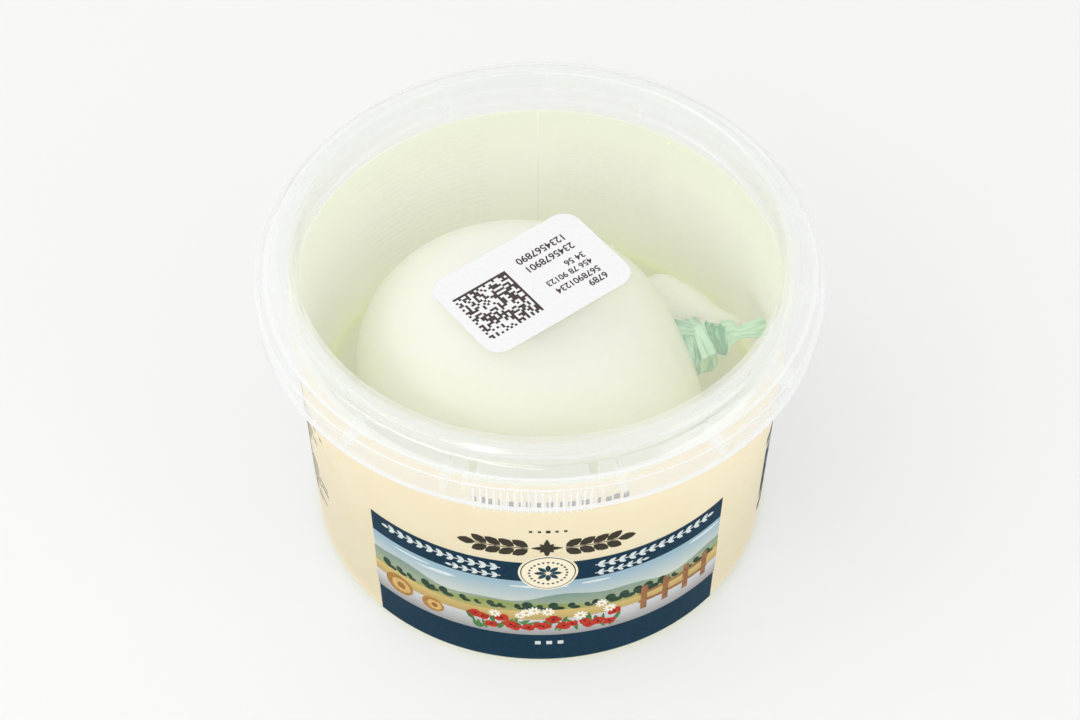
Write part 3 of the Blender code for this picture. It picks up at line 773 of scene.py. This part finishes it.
def makeBadge():
    # a round badge: plain rings and an eight-petal rosette
    x, z = printLayout["badge"]
    size = printLayout["badgeRadius"] * 2
    discs = [flatSpot(x, z, size, size, 0, 64)]
    ring = [flatSpot(x, z, size * 0.925, size * 0.925, 0, 64)]
    inner = [flatSpot(x, z, size * 0.885, size * 0.885, 0, 64)]
    marks = [flatSpot(x + 3.35 * math.cos(turn), z + 3.35 * math.sin(turn), 0.5, 0.5, 0, 8)
             for turn in [math.radians(15 * count) for count in range(24)]]
    marks += [flatSpot(x + 1.45 * math.cos(math.radians(turn)), z + 1.45 * math.sin(math.radians(turn)),
                       2.1, 1.0, turn, 12, True) for turn in range(0, 360, 45)]
    return [
        wrapPrint("badgeDisc", discs, 2, printInk("badgeCreamInk", "#F3E9CF", "#EFE3C6")),
        wrapPrint("badgeRing", ring, 3, printInk("badgeNavyInk", "#2B4A58", "#21404E")),
        wrapPrint("badgeField", inner, 4, printInk("badgeFieldInk", "#F3E9CF", "#EFE3C6")),
        wrapPrint("badgeRosette", marks, 5, printInk("rosetteInk", "#2B4A58", "#21404E")),
    ]


def makeOrnaments():
    # a dark sprig in the heading's place, pale garlands in the navy bands
    heading = leafSprig(4.4, 37.6, 9.6, 4, 3.4, 2.1) + leafSprig(-2.0, 37.6, -9.6, 4, 3.4, 2.1)
    for turn in range(0, 180, 45):
        heading.append(flatSpot(1.2, 37.6, 5.6 if turn % 90 == 0 else 3.6, 1.4, turn, 12, True))
    heading += [flatSpot(1.4 + 1.5 * count, 42.6, 0.8 if count else 1.1, 0.8 if count else 1.1, 45, 4)
                for count in (-2, -1, 0, 1, 2)]
    pale = leafSprig(-7.0, 30.9, -22.0, 11, 1.7, 0.85) + leafSprig(9.8, 30.9, 23.0, 12, 1.7, 0.85)
    pale += leafSprig(-7.0, 28.4, -9.0, 5, 1.4, 0.7) + leafSprig(9.8, 28.4, 9.0, 5, 1.4, 0.7)
    pale += [flatSpot(1.7 + 2.1 * count, 7.0, 1.5, 1.5, 45, 4) for count in (-1, 0, 1)]
    return [
        wrapPrint("headingSprig", heading, 1, printInk("headingInk", "#423C33", "#353027")),
        wrapPrint("bandGarland", pale, 2, printInk("garlandInk", "#DCE3E0", "#C6D2D2")),
    ]


def makeSmallPrint():
    # rows of short bars in the place of small print, at the sides and the back;
    # the rows at the back also show faintly through the wall, inside
    draw = random.Random(23)
    bars, inside = [], []
    for left, right, top, bottom, pitch in (
            (-84, -49, 40, 12, 1.5), (89, 111, 42, 22, 1.5), (89, 111, 17, 6, 1.5), (-128, -98, 51, 10, 2.1),
            (114, 136, 47, 20, 1.2)):
        z = top
        while z > bottom:
            x = left
            end = right - draw.uniform(0, 0.3) * (right - left)
            while x < end:
                wide = draw.uniform(1.2, 5.0)
                bars.append(flatBar(x + wide / 2, z, min(wide, right - x), 0.4, 0))
                if abs(right) > 90 and abs(left) > 110:
                    inside.append(flatBar(x + wide / 2, z, min(wide, right - x), 0.45 if left > 0 else 0.8, 0))
                x += wide + 0.6
            z -= pitch
    x = -11.0
    while x < 15:
        wide = draw.uniform(0.5, 1.3)
        bars.append(flatBar(x, draw.uniform(50.3, 50.7), wide, draw.uniform(1.2, 2.0)))
        x += wide + draw.uniform(0.4, 1.2)
    block = [flatBand(55.0, 86, 11.5, 26.0), flatBand(54.6, 62, 28.0, 30.2), flatBand(54.8, 60, 7.5, 9.6)]
    rows = [flatBar(71, 24.4 - 1.5 * count, 28 - 5 * (count % 3), 0.45, 0) for count in range(9)]
    return [
        wrapPrint("smallPrintRows", bars, 1, printInk("smallPrintInk", "#62635E", "#4E4F4B")),
        wrapPrint("printThroughWall", inside, 0, inkThroughWall(), tub["wall"] + 3 * label["proud"]),
        wrapPrint("sideBlock", block, 1, printInk("sideBlockInk", "#12364A", "#0E2F42")),
        wrapPrint("sideBlockRows", rows, 2, printInk("sideRowInk", "#DCE3E0", "#C6D2D2")),
    ]


# sticker print: a square of random cells and rows of plain digits

stickerPrint = {
    "centre": (-1.3, -4.0), "turn": 37.8, "base": 60.90, "thick": 0.012,
    "code": (-13.4, -5.75, 11.5), "cells": 24, "share": 0.5,
    "rows": ((11.8, 6.6, 10.4, "1234567890"), (11.7, 4.05, 10.2, "2345678901"), (11.9, 1.05, 4.2, "34 56"),
             (12.0, -0.95, 9.9, "456 78 90123"), (12.0, -3.2, 9.5, "5678901234"), (12.1, -5.2, 3.9, "6789")),
}


def makeStickerPrint(material):
    draw = random.Random(3)
    left, bottom, size = stickerPrint["code"]
    cells = stickerPrint["cells"]
    cell = size / cells
    dark = []
    for row in range(cells):
        for column in range(cells):
            solid = row == cells - 1 or column == cells - 1
            broken = row == 0 or column == 0
            drawn = draw.random() < stickerPrint["share"]
            if solid or (broken and (row + column) % 2 == 1) or (drawn and not broken):
                dark.append((left + (column + 0.5) * cell, bottom + (row + 0.5) * cell))
    deselectAll()
    bpy.ops.mesh.primitive_plane_add(size=0.98 * cell * mm)
    pieces = copiesAt(
        bpy.context.object, [Matrix.Translation(Vector((x, y, 0)) * mm) for x, y in dark])
    lines = [joinPieces(pieces, "codeCells")]
    for start, top, width, words in stickerPrint["rows"]:
        deselectAll()
        bpy.ops.object.text_add(location=(0, 0, 0))
        text = bpy.context.object
        text.data.body = words
        text.data.size = mm
        text.data.offset = 0.02 * mm
        bpy.ops.object.convert(target="MESH")
        line = bpy.context.object
        grow = Matrix.Scale(width * mm / line.dimensions.x, 4)
        turned = Matrix.Rotation(math.pi, 4, "Z")
        line.data.transform(Matrix.Translation(Vector((start, top, 0)) * mm) @ turned @ grow)
        lines.append(line)
    sheet = joinPieces(lines, "stickerPrint")
    applyModifier(sheet, "SOLIDIFY", thickness=stickerPrint["thick"] * mm, offset=1.0)
    centre = Vector((*stickerPrint["centre"], stickerPrint["base"])) * mm
    swing = Matrix.Rotation(math.radians(stickerPrint["turn"]), 4, "Z")
    sheet.data.transform(Matrix.Translation(centre) @ swing)
    return dress(sheet, material)


# whey, up to its level and just into the wall

whey = {"level": 57.2, "intoWall": 0.1}


def makeWhey(material):
    level, reach = whey["level"], whey["intoWall"]
    edge = wallRadius(level) - tub["wall"] + reach
    outline = [(0, level), (edge, level)]
    outline += reversed(insideRounding(reach))
    outline += [(0, floorTop - reach)]
    pool = dress(turnedPiece("wheyPool", outline), material)
    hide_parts("whey")
    return pool


# burrata: a pouch drawn together at its neck, the end folded back beside it

burrata = {
    "centre": (-4.4, -0.7, 27.9), "radii": (29.4, 29.4, 27.0),
    "shoulderLift": 7.4, "shoulderTurn": -32, "shoulderSpread": 31,
    "neckCentre": (28.2, 1.0, 28.3), "neckTurn": 22, "neckRadius": 6.3, "seatDepth": 2.4,
    "dimpleReach": 12.0, "dimpleFlare": 2.0, "dimpleMouth": 4.0,
    "neck": (((16.0, -3.9, 28.0), 6.1), ((28.2, 1.0, 28.3), 5.3), ((31.2, 2.6, 28.7), 4.8),
             ((33.2, 4.0, 29.2), 4.1)),
    "fold": (((34.6, 4.5, 29.4), 3.3), ((31.4, 6.4, 29.6), 3.1), ((28.0, 9.8, 29.6), 3.9),
             ((23.0, 13.2, 28.8), 4.6)),
    "web": (((32.6, 4.0, 28.4), 3.4), ((29.2, 5.6, 28.4), 3.9), ((25.0, 8.8, 28.2), 4.2), ((20.0, 11.2, 27.8), 4.4)),
    "pleats": 13, "pleatDepth": 0.25, "pleatSpread": 13,
    "voxel": 0.55,
}


def pouchReach(toward):
    full = 1 / Vector([part / radius for part, radius in zip(toward, burrata["radii"])]).length
    middle = Matrix.Rotation(math.radians(burrata["shoulderTurn"]), 3, "Z") @ Vector((1, 0, 0))
    swing = math.degrees(toward.angle(middle))
    away = swing / burrata["shoulderSpread"]
    side = math.atan2(toward.z, toward.y - toward.x * math.tan(math.radians(burrata["shoulderTurn"])))
    near = (swing - 24) / burrata["pleatSpread"]
    pleat = burrata["pleatDepth"] * math.cos(side * burrata["pleats"] + 1.5 * noise.noise(toward * 3)) * math.exp(-near * near)
    return full + burrata["shoulderLift"] * math.exp(-away * away) + pleat


def makePouch():
    deselectAll()
    bpy.ops.mesh.primitive_uv_sphere_add(segments=96, ring_count=56, radius=1)
    centre = Vector(burrata["centre"])
    return moveVertices(named("pouch"), lambda p: (centre + p.normalized() * pouchReach(p.normalized())) * mm)


def roundTube(name, route):
    # a soft tapered tube along a smooth curve, round at its ends
    curve = bpy.data.curves.new(name, "CURVE")
    curve.dimensions = "3D"
    curve.bevel_depth = mm
    curve.bevel_resolution = 8
    curve.use_fill_caps = True
    line = curve.splines.new("NURBS")
    line.points.add(len(route) - 1)
    line.use_endpoint_u = True
    line.order_u = 3
    line.resolution_u = 8
    for spot, (place, radius) in zip(line.points, route):
        spot.co = (*(Vector(place) * mm), 1)
        spot.radius = radius
    piece = bpy.data.objects.new(name, curve)
    bpy.context.collection.objects.link(piece)
    pickOnly(piece)
    bpy.ops.object.convert(target="MESH")
    piece = named(name)
    balls = [piece]
    for place, radius in (route[0], route[-1]):
        deselectAll()
        bpy.ops.mesh.primitive_uv_sphere_add(
            segments=32, ring_count=16, radius=radius * mm, location=Vector(place) * mm)
        balls.append(applyPlace(named(name + "End")))
    return joinPieces(balls, name)


def neckPlace():
    lean = Matrix.Rotation(math.radians(90), 4, "Y")
    turn = Matrix.Rotation(math.radians(burrata["neckTurn"]), 4, "Z")
    return Matrix.Translation(Vector(burrata["neckCentre"]) * mm) @ turn @ lean


def makeBurrata(material):
    pouch = makePouch()
    seat, reach = burrata["neckRadius"] + 1.4, burrata["dimpleReach"]
    flare = seat + burrata["dimpleFlare"]
    mouth = flare + burrata["dimpleFlare"]
    outline = [(0, reach), (mouth, reach), (mouth, burrata["dimpleMouth"]), (flare, 0)]
    outline += [(seat, -burrata["seatDepth"]), (0, -burrata["seatDepth"])]
    dimple = turnedPiece("dimpleCutter", outline, 48)
    dimple.data.transform(neckPlace())
    applyModifier(pouch, "BOOLEAN", operation="DIFFERENCE", solver="EXACT", object=dimple)
    bpy.data.objects.remove(dimple)
    cheese = joinPieces(
        [pouch] + [roundTube(part + "Tube", burrata[part]) for part in ("neck", "fold", "web")], "burrataSkin")
    applyModifier(cheese, "REMESH", mode="VOXEL", voxel_size=burrata["voxel"] * mm)
    applyModifier(cheese, "SMOOTH", factor=0.5, iterations=14)
    rest = (floorTop + 0.02) * mm
    moveVertices(cheese, lambda p: Vector((p.x, p.y, max(p.z, rest))))
    pickOnly(cheese)
    bpy.ops.object.shade_smooth()
    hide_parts("burrata")
    return dress(cheese, material)


# tie: a flat ribbon round the neck, its crumpled knot and loose ends

tie = {
    "thick": 0.16, "crease": 0.14, "bandRadius": 5.75, "bandHalf": 2.3,
    "knotCentre": (32.2, -0.9, 34.4), "knotRadii": (1.5, 2.7, 2.2), "pleats": 9, "pleatDepth": 0.2,
}
# the first number of each ribbon is how dark the painted shade in its folds is
ribbons = {  # each ribbon's edge points, row by row, and how dark its folds are
    "strap": (0.42, (((22.6, 5.2, 33.4), (24.2, -0.6, 33.8)), ((25.0, 3.5, 35.4), (26.4, -0.9, 35.8)),
                     ((28.0, 1.8, 36.0), (28.8, -0.9, 36.2)), ((30.6, 1.3, 36.2), (31.1, -1.4, 36.0)),
                     ((32.4, 0.8, 35.6), (32.4, -1.6, 35.4)))),
    "sideStrand": (0.3, (((25.9, -0.4, 35.7), (27.5, -0.6, 36.0)), ((26.0, -3.4, 34.9), (27.9, -3.4, 35.2)),
                         ((26.8, -6.0, 33.9), (28.2, -6.0, 34.2)), ((27.7, -8.3, 32.6), (28.1, -8.3, 32.8)))),
    "lowerStrand": (0.6, (((26.2, -0.4, 35.9), (28.4, -0.2, 36.1)), ((26.0, -2.6, 35.2), (29.3, -2.6, 35.3)),
                          ((26.2, -4.4, 34.2), (29.5, -4.4, 34.2)), ((26.8, -5.7, 33.4), (29.2, -5.5, 33.4)),
                          ((27.0, -6.8, 32.8), (28.7, -6.7, 32.8)), ((27.4, -7.6, 32.4), (28.2, -7.6, 32.4)))),
    "flap": (0.0, (((27.9, 1.0, 36.7), (29.9, 1.5, 37.0)), ((28.4, -1.7, 36.3), (30.9, -1.0, 36.7)),
                   ((29.0, -4.3, 35.4), (32.0, -3.2, 35.9)), ((29.4, -5.7, 34.6), (32.4, -4.2, 35.1)))),
    "knotBack": (1.15, (((30.3, 2.6, 35.6), (33.1, 1.9, 36.2)), ((30.0, 1.4, 36.7), (33.2, 0.9, 37.0)),
                        ((30.4, 0.0, 37.0), (33.3, -0.4, 37.2)), ((30.8, -1.4, 36.7), (33.3, -1.6, 36.7)))),
    "knotFan": (0.85, (((31.0, 0.7, 37.3), (33.6, 0.6, 37.1)), ((30.8, -1.0, 37.3), (34.0, -1.5, 36.9)),
                       ((31.4, -3.0, 36.5), (34.1, -3.4, 35.8)), ((32.3, -4.6, 35.1), (33.8, -4.8, 34.8)))),
    "tail": (0.2, (((33.1, 2.5, 36.7), (33.5, -3.9, 34.7)), ((35.2, 3.1, 35.7), (34.9, -2.5, 34.3)),
                    ((36.4, 1.9, 35.0), (36.7, -0.6, 34.4)), ((39.2, 3.6, 34.7), (39.7, -0.1, 34.0)),
                    ((41.5, 5.1, 33.6), (41.8, 1.2, 32.8)))),
}
creases = {"knotBack": 2.6, "knotFan": 2.8}  # how many times deeper than the loose ribbons'


def smoothRow(rows, along):
    # the pair of edge points at a place along the rows, on one smooth curve
    last = len(rows) - 1
    first = min(int(along), last - 1)
    t = along - first
    pair = []
    for side in (0, 1):
        p0, p1, p2, p3 = [Vector(rows[min(max(first + step, 0), last)][side]) for step in (-1, 0, 1, 2)]
        pair.append(0.5 * (2 * p1 + (p2 - p0) * t + (2 * p0 - 5 * p1 + 4 * p2 - p3) * t * t
                           + (3 * p1 - p0 - 3 * p2 + p3) * t ** 3))
    return pair


def setPaintedFoldShade(piece, foldShades):
    # how deep in a fold each vertex lies, which the material paints darker green: painted shade
    layer = piece.data.attributes.new("fold", "FLOAT", "POINT")
    for spot, fold in zip(layer.data, foldShades):
        spot.value = fold


def ribbonSheet(name, rows, depth, seed, crease=1.0, across=22, along=12):
    deselectAll()
    bpy.ops.mesh.primitive_grid_add(x_subdivisions=across, y_subdivisions=along * (len(rows) - 1), size=1)
    sheet = named(name)
    foldShades = []

    def place(p):
        u, v = p.x + 0.5, (p.y + 0.5) * (len(rows) - 1)
        left, right = smoothRow(rows, v)
        ahead = sum(smoothRow(rows, min(v + 0.05, len(rows) - 1)), Vector()) / 2
        behind = sum(smoothRow(rows, max(v - 0.05, 0)), Vector()) / 2
        out = (right - left).cross(ahead - behind).normalized()
        wave = noise.noise(Vector((u * 7.0, v * 0.5, seed))) + 0.5 * noise.noise(Vector((u * 19.0, v * 0.9, seed + 5)))
        # darker where the sheet dips in: painted shade for the crease
        foldShades.append(min(1.0, max(0.0, depth - 0.7 * (crease + 0.4) * wave)))
        ragged = 0.12 * noise.noise(Vector((v * 9.0, u, seed))) if u in (0.0, 1.0) else 0.0
        return (left.lerp(right, u + ragged * 0.5) + out * wave * tie["crease"] * 2 * crease) * mm
    moveVertices(sheet, place)
    setPaintedFoldShade(sheet, foldShades)
    return applyModifier(sheet, "SOLIDIFY", thickness=tie["thick"] * mm, offset=0.0)


def makeKnot():
    deselectAll()
    bpy.ops.mesh.primitive_uv_sphere_add(segments=88, ring_count=44, radius=1)
    knot = named("knotFolds")
    centre, radii = Vector(tie["knotCentre"]), tie["knotRadii"]
    foldShades = []

    def place(p):
        turn = math.atan2(p.z, p.y) + 0.5 * noise.noise(p * 1.7)
        pleat = math.sin(turn * tie["pleats"] + 3.0 * noise.noise(p * 2.3))
        crumple = noise.noise(p * 3.1 + Vector((7, 0, 0)))
        size = 1 + tie["pleatDepth"] * (0.5 * pleat + 0.9 * crumple)
        # darker green in the valleys of the pleats and crumples: painted shade
        foldShades.append(min(1.0, max(0.0, 0.75 - 0.3 * pleat - 0.5 * crumple)))
        return (centre + Vector([part * radius * size for part, radius in zip(p, radii)])) * mm
    moveVertices(knot, place)
    setPaintedFoldShade(knot, foldShades)
    return knot


def makeTie(material):
    reach, half = tie["bandRadius"], tie["bandHalf"]
    ring = neckPlace()
    rows = []
    for count in range(17):
        turn = 2 * math.pi * count / 16
        spot = Vector((reach * math.cos(turn), reach * math.sin(turn), 0))
        rows.append([(ring @ ((spot + Vector((0, 0, end))) * mm)) / mm for end in (-half, half)])
    parts = [makeKnot(), ribbonSheet("neckBand", rows, 0.3, 2.0, 1.6, 10, 4)]
    for count, (name, (depth, edges)) in enumerate(ribbons.items()):
        parts.append(ribbonSheet(name, edges, depth, 3.7 * count + 1, creases.get(name, 1.0)))
    knotted = joinPieces(parts, "tieRibbon")
    bpy.ops.object.shade_smooth()
    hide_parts("tie")
    return dress(knotted, material)


# bubbles clinging to the wall under the whey

bubbles = {"count": 60, "least": 0.08, "most": 0.2, "low": 12.0, "high": 56.0}


def makeBubbles(material):
    draw = random.Random(8)
    deselectAll()
    bpy.ops.mesh.primitive_ico_sphere_add(subdivisions=2, radius=mm)
    bead = named("bead")
    places = []
    for count in range(bubbles["count"]):
        turn, height = draw.uniform(0, 2 * math.pi), draw.uniform(bubbles["low"], bubbles["high"])
        size = draw.uniform(bubbles["least"], bubbles["most"])
        reach = wallRadius(height) - tub["wall"] - 0.6 * size
        spot = Vector((reach * math.sin(turn), reach * math.cos(turn), height)) * mm
        places.append(Matrix.Translation(spot) @ Matrix.Scale(size, 4))
    beads = joinPieces(copiesAt(bead, places), "airBubbles")
    bpy.ops.object.shade_smooth()
    return dress(beads, material)


# stage, camera and light

camera = {"target": (0, 0, 35.62), "distance": 454.5, "elevation": 49.98, "lens": 81.86}


def makeStage():
    deselectAll()
    bpy.ops.mesh.primitive_plane_add(size=4)
    floor = named("floor")
    material, tree, shader = newMaterial(
        "whiteLightTable", Base_Color=colour("#D1D1D0"), Roughness=0.9,
        Emission_Color=(1, 1, 1, 1), Emission_Strength=0.21)
    dress(floor, material)


def makeCamera():
    up = math.radians(camera["elevation"])
    target = Vector(camera["target"]) * mm
    place = target + Vector((0, -math.cos(up), math.sin(up))) * camera["distance"] * mm
    bpy.ops.object.camera_add(location=place, rotation=(math.pi / 2 - up, 0, 0))
    view = bpy.context.object
    view.data.lens = camera["lens"]
    view.data.sensor_width = 36
    view.data.clip_start = 0.01
    bpy.context.scene.camera = view


def softLight(name, place, wide, high, power):
    bpy.ops.object.light_add(type="AREA", location=place)
    lamp = bpy.context.object
    lamp.name = name
    lamp.data.shape = "ELLIPSE"
    lamp.data.size = wide
    lamp.data.size_y = high
    lamp.data.energy = power
    lamp.rotation_euler = (Vector(place) - Vector((0, 0, 0.03))).to_track_quat("Z", "Y").to_euler()


def makeLights():
    world = bpy.data.worlds.new("studio")
    bpy.context.scene.world = world
    world.use_nodes = True
    world.node_tree.nodes["Background"].inputs["Color"].default_value = (1, 1, 1, 1)
    world.node_tree.nodes["Background"].inputs["Strength"].default_value = 0.955
    softLight("leftSoftbox", (-0.5, 0.0, 0.62), 0.5, 0.5, 0.6)
    softLight("frontStrip", (-0.42, -0.52, 0.56), 1.2, 0.05, 1.3)
    softLight("rightFill", (0.62, -0.36, 0.24), 0.5, 0.5, 0.6)
    bpy.context.scene.view_settings.view_transform = "Standard"
    paths = bpy.context.scene.cycles
    paths.transparent_max_bounces = 32  # the lid's rim and the ring stand many clear walls deep
    paths.diffuse_bounces = 6


makeStage()
makeCamera()
makeLights()
print("stage, camera and lights set")

pieces = [makeTub(tubPlastic(), paintedHighlightEdge("tubEdgePaintedHighlight"), mouldedRib())]
print("tub moulded")
pieces.append(makeLid(lidPlastic(), paintedHighlightEdge("lidEdgePaintedHighlight")))
pieces.append(makeLabel(labelFilm(), labelBack()))
pieces.append(makeWhey(wheyLiquid()))
pieces.append(makeBubbles(airBubblePaintedGlint()))
print("lid, label and whey made")
pieces.append(makeBurrata(curdSkin()))
print("burrata shaped")
pieces.append(makeTie(tieFilm()))
print("tie knotted")
for makePrint in (makePanel, makeLandscape, makeFlowers, makeBadge, makeOrnaments, makeSmallPrint):
    pieces += makePrint()
print("label printed")
dress(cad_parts["sticker"], labelPaper())
pieces.append(makeStickerPrint(thermalPrint()))
print("sticker printed")

for piece in pieces:
    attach(piece, "root")

bpy.context.view_layer.update()
